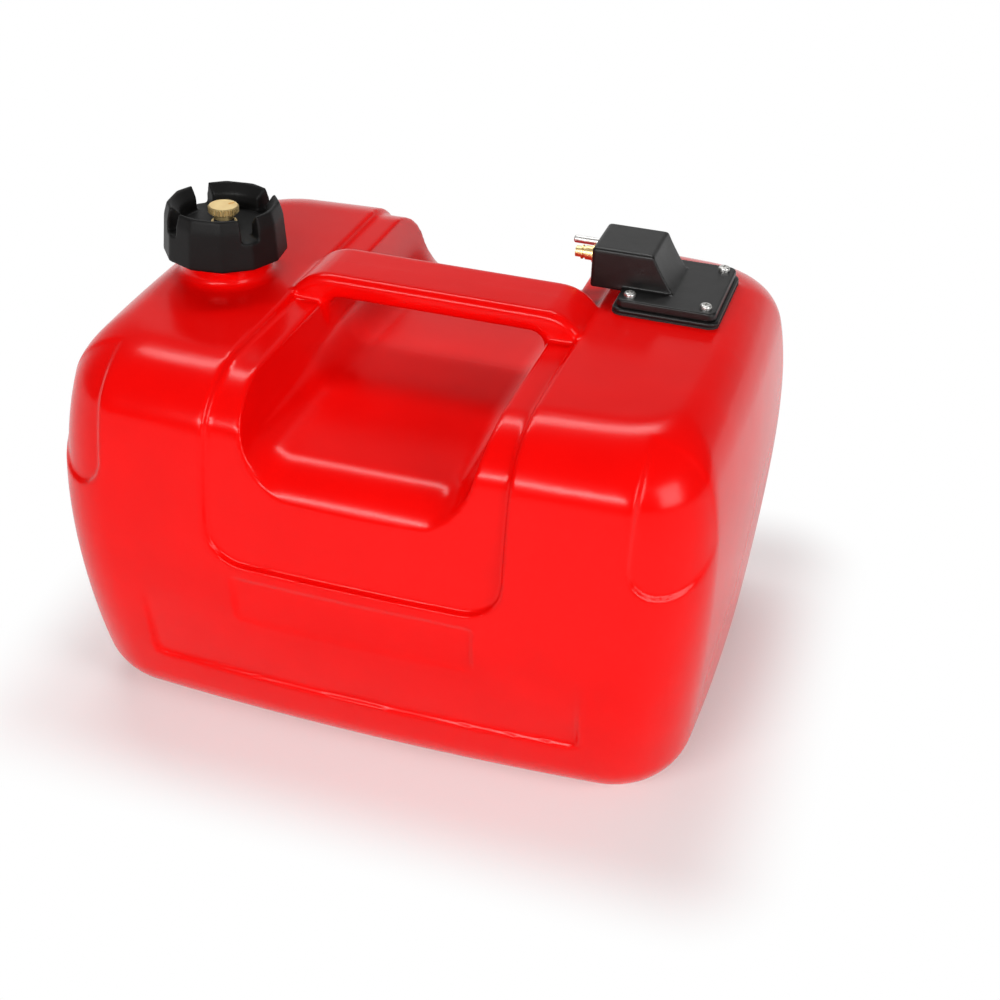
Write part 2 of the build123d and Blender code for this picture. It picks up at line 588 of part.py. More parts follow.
def outlet_housing():
    """The black block with its plate, its spigot into the tank and the fuel passage."""
    run = BLOCK_FOOT - BLOCK_RIGHT
    slant = math.hypot(run, BLOCK_HEIGHT)
    hollow = ((BLOCK_RIGHT + BLOCK_FOOT) / 2 - BLOCK_HOLLOW * BLOCK_HEIGHT / slant,
              (BLOCK_TOP + PLATE_TOP) / 2 - BLOCK_HOLLOW * run / slant)
    profile = make_face(Wire([
        Line((BLOCK_LEFT, FLANGE_TOP + PLATE_THICK / 2), (BLOCK_LEFT, BLOCK_TOP)),
        Line((BLOCK_LEFT, BLOCK_TOP), (BLOCK_RIGHT, BLOCK_TOP)),
        ThreePointArc((BLOCK_RIGHT, BLOCK_TOP), hollow, (BLOCK_FOOT, PLATE_TOP)),
        Line((BLOCK_FOOT, PLATE_TOP), (BLOCK_FOOT, FLANGE_TOP + PLATE_THICK / 2)),
        Line((BLOCK_FOOT, FLANGE_TOP + PLATE_THICK / 2), (BLOCK_LEFT, FLANGE_TOP + PLATE_THICK / 2)),
    ]))
    block = extrude(Plane.XZ.offset(-BLOCK_Y) * profile, BLOCK_DEPTH / 2, both=True)
    round_edges = block.edges().filter_by_position(Axis.Z, BLOCK_TOP - TINY, BLOCK_TOP + TINY)
    round_edges += block.faces().sort_by(Axis.X)[0].edges().filter_by(Axis.Z)
    block = fillet(round_edges, BLOCK_ROUND)
    plate = slab(PLATE_SIZE, PLATE_CORNER, FLANGE_TOP, PLATE_TOP)
    plate = chamfer(plate.edges().filter_by_position(Axis.Z, PLATE_TOP, PLATE_TOP), EDGE_CHAMFER)
    housing = block + plate + post(TUBE_X, NIPPLE_Y, SPIGOT_RADIUS, PLATE_TOP - SPIGOT_LENGTH, PLATE_TOP)
    for hole in at_screws(lambda x, y: post(x, y, SCREW_RADIUS + SCREW_CLEARANCE, FLANGE_TOP, PLATE_TOP)):
        housing -= hole
    housing -= rod(BLOCK_LEFT, NIPPLE_END, NIPPLE_Y, NIPPLE_ROOT_RADIUS)
    housing -= rod(NIPPLE_END, TUBE_X, NIPPLE_Y, PASSAGE_RADIUS)
    housing -= post(TUBE_X, NIPPLE_Y, PASSAGE_RADIUS, TUBE_TOP, PIN_HEIGHT + PASSAGE_RADIUS)
    housing -= post(TUBE_X, NIPPLE_Y, TUBE_RADIUS, PLATE_TOP - SPIGOT_LENGTH, TUBE_TOP)
    ring_space = TUBE_RADIUS + 2 * O_RING_WIRE
    housing -= post(TUBE_X, NIPPLE_Y, ring_space, TUBE_RING_HEIGHT - O_RING_WIRE, TUBE_RING_HEIGHT + O_RING_WIRE)
    return housing - rod(BLOCK_LEFT, BLOCK_LEFT + GUIDE_ROOT_LENGTH, GUIDE_Y, GUIDE_ROOT_RADIUS)


def outlet_screw(x, y):
    """One pan-head screw with a cross recess."""
    head_top = PLATE_TOP + SCREW_HEAD_HEIGHT
    head = Pos(0, 0, PLATE_TOP + SCREW_HEAD_HEIGHT / 2) * Cylinder(SCREW_HEAD_RADIUS, SCREW_HEAD_HEIGHT)
    head = fillet(head.edges().filter_by_position(Axis.Z, head_top, head_top), SCREW_HEAD_ROUND)
    slot = Box(*SCREW_CROSS)
    place = Pos(0, 0, head_top - SCREW_CROSS[2] / 2)
    screw = head - place * slot - place * Rot(0, 0, 90) * slot
    screw += post(0, 0, SCREW_RADIUS, PLATE_TOP - SCREW_LENGTH, PLATE_TOP)
    return Pos(x, y, 0) * screw


def screw_insert(x, y):
    insert = post(x, y, INSERT_RADIUS, PAD_TOP - INSERT_LENGTH, PAD_TOP)
    return insert - post(x, y, SCREW_RADIUS, PAD_TOP - INSERT_LENGTH, PAD_TOP)


def fuel_nipple():
    """The brass nipple that the fuel hose snaps on, with the chamber of its check valve."""
    nipple = rod(NIPPLE_TIP, BLOCK_LEFT, NIPPLE_Y, NIPPLE_RADIUS)
    nipple -= rod(NIPPLE_TIP, NIPPLE_TIP + NIPPLE_TIP_LENGTH, NIPPLE_Y, NIPPLE_RADIUS)
    nipple += rod(NIPPLE_TIP, NIPPLE_TIP + NIPPLE_TIP_LENGTH, NIPPLE_Y, NIPPLE_TIP_RADIUS)
    start, width, depth = NIPPLE_GROOVE
    start += NIPPLE_TIP
    groove = rod(start, start + width, NIPPLE_Y, NIPPLE_RADIUS)
    nipple -= groove - rod(start, start + width, NIPPLE_Y, NIPPLE_RADIUS - depth)
    nipple += rod(BLOCK_LEFT - NIPPLE_COLLAR_LENGTH, BLOCK_LEFT, NIPPLE_Y, NIPPLE_COLLAR_RADIUS)
    nipple += rod(BLOCK_LEFT, NIPPLE_END, NIPPLE_Y, NIPPLE_ROOT_RADIUS)
    nipple -= rod(NIPPLE_TIP, CHAMBER_X, NIPPLE_Y, NIPPLE_HOLE)
    nipple -= rod(CHAMBER_X, NIPPLE_END, NIPPLE_Y, CHAMBER_RADIUS)
    ring_x = BLOCK_LEFT + NIPPLE_RING_PLACE
    space = rod(ring_x - O_RING_WIRE, ring_x + O_RING_WIRE, NIPPLE_Y, NIPPLE_ROOT_RADIUS)
    space -= rod(ring_x - O_RING_WIRE, ring_x + O_RING_WIRE, NIPPLE_Y, NIPPLE_ROOT_RADIUS - 2 * O_RING_WIRE)
    return nipple - space


def nipple_o_ring():
    ring = o_ring(NIPPLE_ROOT_RADIUS - 2 * O_RING_WIRE)
    return Pos(BLOCK_LEFT + NIPPLE_RING_PLACE, NIPPLE_Y, PIN_HEIGHT) * Rot(0, 90, 0) * ring


def valve_poppet():
    """The check valve's poppet, shut against the chamber's end, with the stem that the hose pushes in."""
    head = rod(CHAMBER_X, CHAMBER_X + POPPET_HEAD, NIPPLE_Y, POPPET_RADIUS)
    return head + rod(CHAMBER_X - POPPET_STEM_LENGTH, CHAMBER_X, NIPPLE_Y, POPPET_STEM_RADIUS)


def valve_retainer():
    ring = rod(RETAINER_X, NIPPLE_END, NIPPLE_Y, CHAMBER_RADIUS)
    return ring - rod(RETAINER_X, NIPPLE_END, NIPPLE_Y, RETAINER_HOLE)


def valve_spring():
    """The check valve's coil spring, between poppet and retainer."""
    start = CHAMBER_X + POPPET_HEAD + SPRING_WIRE
    length = RETAINER_X - SPRING_WIRE - start
    path = Helix(length / SPRING_COILS, length, SPRING_RADIUS)
    section = Plane(origin=path @ 0, z_dir=path % 0) * Circle(SPRING_WIRE)
    coil = sweep(section, path=path, is_frenet=True)
    return Pos(start, NIPPLE_Y, PIN_HEIGHT) * Rot(0, 90, 0) * coil


def guide_pin():
    """The plain pin beside the nipple that keeps the hose's connector upright."""
    pin = rod(BLOCK_LEFT - GUIDE_LENGTH, BLOCK_LEFT, GUIDE_Y, GUIDE_RADIUS)
    pin += rod(BLOCK_LEFT, BLOCK_LEFT + GUIDE_ROOT_LENGTH, GUIDE_Y, GUIDE_ROOT_RADIUS)
    tip = pin.edges().filter_by(GeomType.CIRCLE).sort_by(Axis.X)[0]
    return fillet(tip, GUIDE_TIP_ROUND)


def pickup_tube():
    tube = post(TUBE_X, NIPPLE_Y, TUBE_RADIUS, TUBE_BOTTOM, TUBE_TOP)
    return tube - post(TUBE_X, NIPPLE_Y, TUBE_BORE, TUBE_BOTTOM, TUBE_TOP)


def tube_o_ring():
    return Pos(TUBE_X, NIPPLE_Y, TUBE_RING_HEIGHT) * o_ring(TUBE_RADIUS)


def pickup_strainer():
    """The cage on the tube's end: collar, bars and floor."""
    floor_top = STRAINER_BOTTOM + STRAINER_FLOOR
    cage = post(0, 0, STRAINER_RADIUS, STRAINER_BOTTOM, floor_top)
    cage += post(0, 0, STRAINER_RADIUS, TUBE_BOTTOM, TUBE_BOTTOM + STRAINER_FLOOR)
    cage += post(0, 0, STRAINER_COLLAR, TUBE_BOTTOM, STRAINER_TOP)
    cage -= post(0, 0, TUBE_RADIUS, TUBE_BOTTOM, STRAINER_TOP)
    for index in range(STRAINER_BARS):
        bar = Pos(STRAINER_RADIUS - STRAINER_WALL / 2, 0, (floor_top + TUBE_BOTTOM) / 2)
        bar = bar * Box(STRAINER_WALL, STRAINER_BAR_WIDTH, TUBE_BOTTOM - floor_top)
        cage += Rot(0, 0, index * 360 / STRAINER_BARS) * bar
    inside = post(0, 0, STRAINER_RADIUS - STRAINER_WALL, floor_top, TUBE_BOTTOM)
    outside = post(0, 0, STRAINER_RADIUS, STRAINER_BOTTOM, STRAINER_TOP)
    return Pos(TUBE_X, NIPPLE_Y, 0) * ((cage - inside) & outside)


def strainer_mesh():
    """The fine sleeve of gauze inside the cage."""
    outer = STRAINER_RADIUS - STRAINER_WALL
    low = STRAINER_BOTTOM + STRAINER_FLOOR
    sleeve = post(0, 0, outer, low, TUBE_BOTTOM) - post(0, 0, outer - MESH_THICK, low, TUBE_BOTTOM)
    return Pos(TUBE_X, NIPPLE_Y, 0) * sleeve


NODES = {
    "tank_body": tank_body,
    "filler_cap": filler_cap,
    "cap_gasket": cap_gasket,
    "vent_screw": vent_screw,
    "vent_bush": vent_bush,
    "vent_seal": vent_seal,
    "vent_clip": vent_clip,
    "outlet_gasket": outlet_gasket,
    "outlet_flange": outlet_flange,
    "outlet_housing": outlet_housing,
    "outlet_screws": lambda: Compound(children=at_screws(outlet_screw)),
    "screw_inserts": lambda: Compound(children=at_screws(screw_insert)),
    "fuel_nipple": fuel_nipple,
    "nipple_o_ring": nipple_o_ring,
    "valve_poppet": valve_poppet,
    "valve_spring": valve_spring,
    "valve_retainer": valve_retainer,
    "guide_pin": guide_pin,
    "pickup_tube": pickup_tube,
    "tube_o_ring": tube_o_ring,
    "pickup_strainer": pickup_strainer,
    "strainer_mesh": strainer_mesh,
}

if __name__ == "__main__":
    os.makedirs("parts", exist_ok=True)
    for name, make in NODES.items():
        piece = make()
        export_step(piece, f"parts/{name}.step")
        print(name, len(piece.solids()), round(piece.volume), piece.is_valid)
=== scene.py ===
import json
import math

import bpy
from mathutils import Matrix, Vector

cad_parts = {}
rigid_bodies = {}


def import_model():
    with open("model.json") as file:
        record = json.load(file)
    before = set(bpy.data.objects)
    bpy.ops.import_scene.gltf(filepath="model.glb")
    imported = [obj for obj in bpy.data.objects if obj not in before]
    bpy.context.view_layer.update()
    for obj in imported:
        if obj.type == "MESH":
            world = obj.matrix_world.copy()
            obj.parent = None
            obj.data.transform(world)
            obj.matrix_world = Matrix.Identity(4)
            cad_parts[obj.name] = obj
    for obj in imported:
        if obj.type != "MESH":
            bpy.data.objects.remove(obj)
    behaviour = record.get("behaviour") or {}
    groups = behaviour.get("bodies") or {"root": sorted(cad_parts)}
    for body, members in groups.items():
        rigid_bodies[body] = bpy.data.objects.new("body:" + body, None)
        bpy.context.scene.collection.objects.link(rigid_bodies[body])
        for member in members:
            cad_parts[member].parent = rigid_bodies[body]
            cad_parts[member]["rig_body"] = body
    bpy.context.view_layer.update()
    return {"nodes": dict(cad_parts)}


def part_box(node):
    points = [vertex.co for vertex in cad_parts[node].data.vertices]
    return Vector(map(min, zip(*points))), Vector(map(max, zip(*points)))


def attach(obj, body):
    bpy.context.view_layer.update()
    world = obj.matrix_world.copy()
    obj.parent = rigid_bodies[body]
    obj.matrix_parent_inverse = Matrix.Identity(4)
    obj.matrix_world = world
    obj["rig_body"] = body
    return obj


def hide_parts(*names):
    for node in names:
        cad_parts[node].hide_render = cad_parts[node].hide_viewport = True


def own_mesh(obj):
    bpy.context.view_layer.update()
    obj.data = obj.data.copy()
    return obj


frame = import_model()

bl_info = {
    "name": "Outboard Fuel Tank",
    "version": (1, 0, 0),
    "blender": (4, 5, 0),
    "location": "3D View > Sidebar > Fuel Tank",
    "description": "Dresses the pieces of a portable outboard fuel tank and sets its stage",
    "category": "Add Mesh",
}

# ---- meshes, in metres ----
MERGE_DISTANCE = 0.00002
SHARP_EDGE = math.radians(32)
EASING = 0.5                # how far each softening pass moves a point

# ---- skins: grain's scale and depth, wave's scale and depth ----
SKIN_SOCKETS = {"Grain Scale": 600.0, "Grain Depth": 0.2, "Wave Scale": 25.0, "Wave Depth": 0.3}
GRAIN_NOISE = {"Detail": 3.0, "Roughness": 0.6}
WAVE_NOISE = {"Detail": 2.0, "Roughness": 0.4}
RED_SKIN = (700.0, 0.05, 30.0, 0.12)
BLACK_SKIN = (1500.0, 0.22, 60.0, 0.10)
RUBBER_SKIN = (2200.0, 0.3, 80.0, 0.2)
METAL_SKIN = (2600.0, 0.12, 140.0, 0.08)
NATURAL_SKIN = (1200.0, 0.1, 40.0, 0.1)
GRAIN_HEIGHT = 0.0004       # metres at full depth
WAVE_HEIGHT = 0.002
MOTTLE_ENDS = (0.3, 0.7)    # of the slow wave, where a colour is darkest and lightest

# ---- parting line, in metres ----
PARTING_HALF_WIDTH = 0.0007
PARTING_HEIGHT = 0.0002
PARTING_STRENGTH = 0.2

# ---- finishes: roughness from smoothest to roughest, and how strongly a surface mirrors ----
RED_ROUGHNESS, RED_SPECULAR = (0.18, 0.23), 0.16
CAP_ROUGHNESS, CAP_SPECULAR = (0.42, 0.52), 0.16
NYLON_ROUGHNESS, NYLON_SPECULAR = (0.34, 0.44), 0.36
RUBBER_ROUGHNESS = (0.6, 0.75)
BRASS_ROUGHNESS = (0.36, 0.48)
STEEL_ROUGHNESS = (0.36, 0.46)
NATURAL_ROUGHNESS = (0.35, 0.45)
RED_SHADE = 0.95            # of the darkest spot against the lightest
BLACK_SHADE = 0.8

# ---- colours, darkest and lightest ----
RUBBER_COLOURS = ((0.012,) * 3, (0.022,) * 3)
BRASS_COLOURS = ((0.90, 0.66, 0.30), (0.97, 0.76, 0.38))
STEEL_COLOURS = ((0.64, 0.63, 0.61), (0.74, 0.73, 0.71))
NATURAL_COLOURS = ((0.70, 0.68, 0.58), (0.78, 0.77, 0.69))

# ---- floor and backdrop ----
WHITE = (1, 1, 1, 1)
FLOOR_SIZE = 60.0           # metres
FLOOR_DROP = 0.0002         # metres under the tank's bottom
FLOOR_ROUGHNESS = 0.9
NEAR_WHITENESS = 0.20       # of the floor beside the tank
WHITE_FROM = 0.07           # metres out from the tank at which the floor is plain white
WHITE_IN_GLOSS = 0.32       # metres further out at which it is so in reflections
FILL_LIGHT = 0.12
BACKDROP_SIDE = (-0.30, 0.75, -0.60)    # where gloss sees the white backdrop
BACKDROP_FADE = (0.15, 0.85)
DIM_STUDIO = 0.12

# ---- lamps: name, place, target and size in metres, power in watts ----
LAMPS = (
    ("front_softbox", (-0.15, -1.5, 0.92), (0.0, 0.0, 0.18), (1.15, 0.18), 17.5),
    ("right_softbox", (1.4, -0.7, 0.8), (0.1, 0.0, 0.15), (0.62, 0.8), 12.5),
    ("top_softbox", (-0.45, 0.87, 1.9), (0.0, 0.0, 0.15), (1.6, 0.28), 18.0),
)

# ---- camera ----
CAMERA_PLACE = (0.2635, -0.7848, 0.6205)    # metres
CAMERA_RIGHT = (0.9535, 0.2991, 0.0354)
CAMERA_BACK = (0.2346, -0.8114, 0.5354)
SENSOR_WIDTH = 36.0         # millimetres
CLIP_NEAR, CLIP_FAR = 0.01, 100.0       # metres


# ---------------------------------------------------------------- shared mesh helpers

def only(obj):
    """Leaves nothing selected but this piece, and makes it the active one."""
    if bpy.context.object is not None and bpy.context.object.mode != "OBJECT":
        bpy.ops.object.mode_set(mode="OBJECT")
    bpy.ops.object.select_all(action="DESELECT")
    obj.select_set(True)
    bpy.context.view_layer.objects.active = obj
    return obj


def merged_copy(node, name):
    """A free copy of a frame node with its loose triangles merged."""
    source = frame["nodes"][node]
    obj = bpy.data.objects.new(name, source.data.copy())
    bpy.context.scene.collection.objects.link(obj)
    obj.data.materials.clear()
    only(obj)
    if obj.data.has_custom_normals:
        bpy.ops.mesh.customdata_custom_splitnormals_clear()
    bpy.ops.object.mode_set(mode="EDIT")
    bpy.ops.mesh.select_all(action="SELECT")
    bpy.ops.mesh.remove_doubles(threshold=MERGE_DISTANCE)
    bpy.ops.object.mode_set(mode="OBJECT")
    return obj


def apply_modifier(obj, kind, **settings):
    """Adds a modifier with these settings, and applies it."""
    modifier = obj.modifiers.new(kind.title(), kind)
    for key, value in settings.items():
        setattr(modifier, key, value)
    only(obj)
    bpy.ops.object.modifier_apply(modifier=modifier.name)


def moulded_copy(node, name, voxel, softness, triangles):
    """A node's form with moulded, softened edges, in at most so many triangles.

    The fine mesh hands its smooth normals to the lighter one before it goes.
    """
    fine = merged_copy(node, name + "_fine")
    apply_modifier(fine, "REMESH", mode="VOXEL", voxel_size=voxel, adaptivity=0.0)
    apply_modifier(fine, "CORRECTIVE_SMOOTH", factor=EASING, iterations=softness,
                   smooth_type="SIMPLE", use_only_smooth=True)
    only(fine)
    bpy.ops.object.shade_smooth()
    bpy.ops.object.duplicate()
    piece = bpy.context.object
    piece.name = name
    share = triangles / (2 * len(piece.data.polygons))
    if share < 1.0:
        apply_modifier(piece, "DECIMATE", ratio=share)
    apply_modifier(piece, "DATA_TRANSFER", object=fine, use_loop_data=True,
                   data_types_loops={"CUSTOM_NORMAL"}, loop_mapping="POLYINTERP_NEAREST")
    bpy.data.meshes.remove(fine.data)
    return piece


def turned_copy(node, name, material):
    """A metal fitting's own form, with its triangles joined and only its sharp edges left sharp."""
    piece = merged_copy(node, name)
    bpy.ops.object.shade_smooth_by_angle(angle=SHARP_EDGE)
    finish_piece(piece, node, material, frame["nodes"][node]["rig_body"])
    return piece


def sprung_copy(node, name, material):
    """A coil spring's turned copy, with a mesh of its own."""
    spring = turned_copy(node, name, material)
    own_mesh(spring)
    return spring


def finish_piece(obj, node, material, body):
    """Gives a piece its material and body, and lets it stand for its node."""
    obj.data.materials.clear()
    obj.data.materials.append(material)
    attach(obj, body)
    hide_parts(node)


# ---------------------------------------------------------------- shared material helpers

def tree_of(name):
    """A new material, with its node tree and its shader."""
    material = bpy.data.materials.new(name)
    material.use_nodes = True
    tree = material.node_tree
    return material, tree, tree.nodes["Principled BSDF"]


def add_node(tree, kind, **settings):
    """A new node. Each setting goes to the input of that name, or else to the node itself."""
    node = tree.nodes.new(kind)
    for key, value in settings.items():
        if key in node.inputs:
            node.inputs[key].default_value = value
        else:
            setattr(node, key, value)
    return node


def group_sockets(group, inputs, outputs):
    """Gives a node group its sockets, and returns its entry and its exit."""
    for name, kind, default in inputs:
        socket = group.interface.new_socket(name=name, in_out="INPUT", socket_type=kind)
        socket.default_value = default
    for name, kind in outputs:
        group.interface.new_socket(name=name, in_out="OUTPUT", socket_type=kind)
    return group.nodes.new("NodeGroupInput"), group.nodes.new("NodeGroupOutput")


def moulded_skin_group():
    """The faint orange peel and slow waviness of a blow-moulded or injection-moulded skin."""
    if "Moulded Skin" in bpy.data.node_groups:
        return bpy.data.node_groups["Moulded Skin"]
    group = bpy.data.node_groups.new("Moulded Skin", "ShaderNodeTree")
    entry, leave = group_sockets(
        group,
        [(name, "NodeSocketFloat", value) for name, value in SKIN_SOCKETS.items()],
        [("Normal", "NodeSocketVector"), ("Mottle", "NodeSocketFloat")],
    )
    links = group.links
    place = group.nodes.new("ShaderNodeTexCoord")
    grain = add_node(group, "ShaderNodeTexNoise", **GRAIN_NOISE)
    wave = add_node(group, "ShaderNodeTexNoise", **WAVE_NOISE)
    links.new(place.outputs["Object"], grain.inputs["Vector"])
    links.new(place.outputs["Object"], wave.inputs["Vector"])
    links.new(entry.outputs["Grain Scale"], grain.inputs["Scale"])
    links.new(entry.outputs["Wave Scale"], wave.inputs["Scale"])
    slow = add_node(group, "ShaderNodeBump", Distance=WAVE_HEIGHT)
    fine = add_node(group, "ShaderNodeBump", Distance=GRAIN_HEIGHT)
    links.new(entry.outputs["Wave Depth"], slow.inputs["Strength"])
    links.new(wave.outputs["Fac"], slow.inputs["Height"])
    links.new(entry.outputs["Grain Depth"], fine.inputs["Strength"])
    links.new(grain.outputs["Fac"], fine.inputs["Height"])
    links.new(slow.outputs["Normal"], fine.inputs["Normal"])
    links.new(fine.outputs["Normal"], leave.inputs["Normal"])
    links.new(wave.outputs["Fac"], leave.inputs["Mottle"])
    return group


def add_skin(tree, shader, values):
    """Gives a shader the skin's normals, and returns the skin's node."""
    skin = tree.nodes.new("ShaderNodeGroup")
    skin.node_tree = moulded_skin_group()
    for name, value in zip(SKIN_SOCKETS, values):
        skin.inputs[name].default_value = value
    tree.links.new(skin.outputs["Normal"], shader.inputs["Normal"])
    return skin


def vary_with_mottle(tree, skin, shader, colours, roughness):
    """Lets the skin's slow wave lead the colour from dark to light, and the roughness with it."""
    ramp = tree.nodes.new("ShaderNodeValToRGB")
    for element, place, colour in zip(ramp.color_ramp.elements, MOTTLE_ENDS, colours):
        element.position = place
        element.color = (*colour, 1)
    tree.links.new(skin.outputs["Mottle"], ramp.inputs["Fac"])
    tree.links.new(ramp.outputs["Color"], shader.inputs["Base Color"])
    spread = add_node(tree, "ShaderNodeMapRange")
    spread.inputs["To Min"].default_value, spread.inputs["To Max"].default_value = roughness
    tree.links.new(skin.outputs["Mottle"], spread.inputs["Value"])
    tree.links.new(spread.outputs["Result"], shader.inputs["Roughness"])


def parting_line_group():
    """The faint ridge that the two halves of the mould leave round the middle of the depth."""
    if "Parting Line" in bpy.data.node_groups:
        return bpy.data.node_groups["Parting Line"]
    group = bpy.data.node_groups.new("Parting Line", "ShaderNodeTree")
    entry, leave = group_sockets(
        group,
        [
            ("Normal", "NodeSocketVector", (0.0, 0.0, 0.0)),
            ("Half Width", "NodeSocketFloat", PARTING_HALF_WIDTH),
        ],
        [("Normal", "NodeSocketVector")],
    )
    links = group.links
    place = group.nodes.new("ShaderNodeTexCoord")
    axes = group.nodes.new("ShaderNodeSeparateXYZ")
    off_middle = add_node(group, "ShaderNodeMath", operation="ABSOLUTE")
    ridge = add_node(group, "ShaderNodeMapRange", interpolation_type="SMOOTHSTEP")
    ridge.inputs["From Min"].default_value = 0.0
    ridge.inputs["To Min"].default_value = 1.0
    ridge.inputs["To Max"].default_value = 0.0
    bump = add_node(group, "ShaderNodeBump", Distance=PARTING_HEIGHT, Strength=PARTING_STRENGTH)
    links.new(place.outputs["Object"], axes.inputs["Vector"])
    links.new(axes.outputs["Y"], off_middle.inputs[0])
    links.new(off_middle.outputs[0], ridge.inputs["Value"])
    links.new(entry.outputs["Half Width"], ridge.inputs["From Max"])
    links.new(ridge.outputs["Result"], bump.inputs["Height"])
    links.new(entry.outputs["Normal"], bump.inputs["Normal"])
    links.new(bump.outputs["Normal"], leave.inputs["Normal"])
    return group


def mottled_material(name, skin_values, colours, roughness):
    """A material whose skin, colour and roughness vary together, with its node tree, skin and shader."""
    material, tree, shader = tree_of(name)
    skin = add_skin(tree, shader, skin_values)
    vary_with_mottle(tree, skin, shader, colours, roughness)
    return material, tree, skin, shader


def shaded(colour, share):
    """A colour's darkest and lightest spots."""
    return tuple(c * share for c in colour), colour


def red_polyethylene(colour):
    """Deep red polyethylene with a satin blow-moulded skin and the mould's parting line."""
    material, tree, skin, shader = mottled_material(
        "red_polyethylene", RED_SKIN, shaded(colour, RED_SHADE), RED_ROUGHNESS)
    line = tree.nodes.new("ShaderNodeGroup")
    line.node_tree = parting_line_group()
    tree.links.new(skin.outputs["Normal"], line.inputs["Normal"])
    tree.links.new(line.outputs["Normal"], shader.inputs["Normal"])
    shader.inputs["Specular IOR Level"].default_value = RED_SPECULAR
    return material


def black_moulding(name, colour, roughness, specular):
    """Fine-grained black injection-moulded plastic."""
    colours = shaded(colour, BLACK_SHADE)
    material, tree, skin, shader = mottled_material(name, BLACK_SKIN, colours, roughness)
    shader.inputs["Specular IOR Level"].default_value = specular
    return material


def black_rubber():
    """Matte black rubber."""
    return mottled_material("black_rubber", RUBBER_SKIN, RUBBER_COLOURS, RUBBER_ROUGHNESS)[0]


def turned_metal(name, colours, roughness):
    """Turned or plated metal with fine tool marks."""
    material, tree, skin, shader = mottled_material(name, METAL_SKIN, colours, roughness)
    shader.inputs["Metallic"].default_value = 1.0
    return material


def natural_plastic():
    """Uncoloured polyethylene."""
    return mottled_material("natural_polyethylene", NATURAL_SKIN, NATURAL_COLOURS, NATURAL_ROUGHNESS)[0]


def dress_node(node, material):
    """Puts a material in a frame node's slots."""
    mesh = frame["nodes"][node].data
    mesh.materials.clear()
    mesh.materials.append(material)


# ---------------------------------------------------------------- settings

class FUELTANK_PG_shell(bpy.types.PropertyGroup):
    colour: bpy.props.FloatVectorProperty(
        name="Shell Colour", description="Colour of the moulded tank", default=(0.84, 0.0015, 0.001),
        subtype="COLOR", size=3, min=0.0, max=1.0)
    voxel: bpy.props.FloatProperty(
        name="Mesh Size", description="How fine the shell is worked out", default=0.0011,
        unit="LENGTH", min=0.001)
    softness: bpy.props.IntProperty(
        name="Edge Softness", description="How many times the moulded edges are eased",
        default=7, min=0)
    triangles: bpy.props.IntProperty(
        name="Triangles", description="How many triangles the shell keeps",
        default=190000, min=1000, max=199000)


class FUELTANK_PG_fittings(bpy.types.PropertyGroup):
    colour: bpy.props.FloatVectorProperty(
        name="Fittings Colour", description="Colour of the cap and the outlet",
        default=(0.0075, 0.0072, 0.007), subtype="COLOR", size=3, min=0.0, max=1.0)
    voxel: bpy.props.FloatProperty(
        name="Mesh Size", description="How fine the moulded fittings are worked out",
        default=0.0006, unit="LENGTH", min=0.0003)
    softness: bpy.props.IntProperty(
        name="Edge Softness", description="How many times the outlet's moulded edges are eased",
        default=4, min=0)
    cap_softness: bpy.props.IntProperty(
        name="Cap Softness", description="How many times the cap's moulded edges are eased",
        default=16, min=0)
    triangles: bpy.props.IntProperty(
        name="Triangles", description="How many triangles each moulded fitting keeps",
        default=60000, min=1000)


class FUELTANK_PG_stage(bpy.types.PropertyGroup):
    lens: bpy.props.FloatProperty(
        name="Lens", description="Focal length of the camera in millimetres", default=58.63, min=1.0)
    floor_colour: bpy.props.FloatVectorProperty(
        name="Floor Colour", description="Colour of the floor", default=(0.9, 0.9, 0.9),
        subtype="COLOR", size=3, min=0.0, max=1.0)


# ---------------------------------------------------------------- operators

class FUELTANK_OT_shell(bpy.types.Operator):
    """Make the blow-moulded shell from the frame's tank body"""
    bl_idname = "fueltank.shell"
    bl_label = "Moulded Shell"

    def execute(self, context):
        settings = context.scene.fueltank_shell
        shell = moulded_copy(
            "tank_body", "moulded_shell", settings.voxel, settings.softness, settings.triangles)
        plastic = red_polyethylene(tuple(settings.colour))
        finish_piece(shell, "tank_body", plastic, "tank")
        return {"FINISHED"}


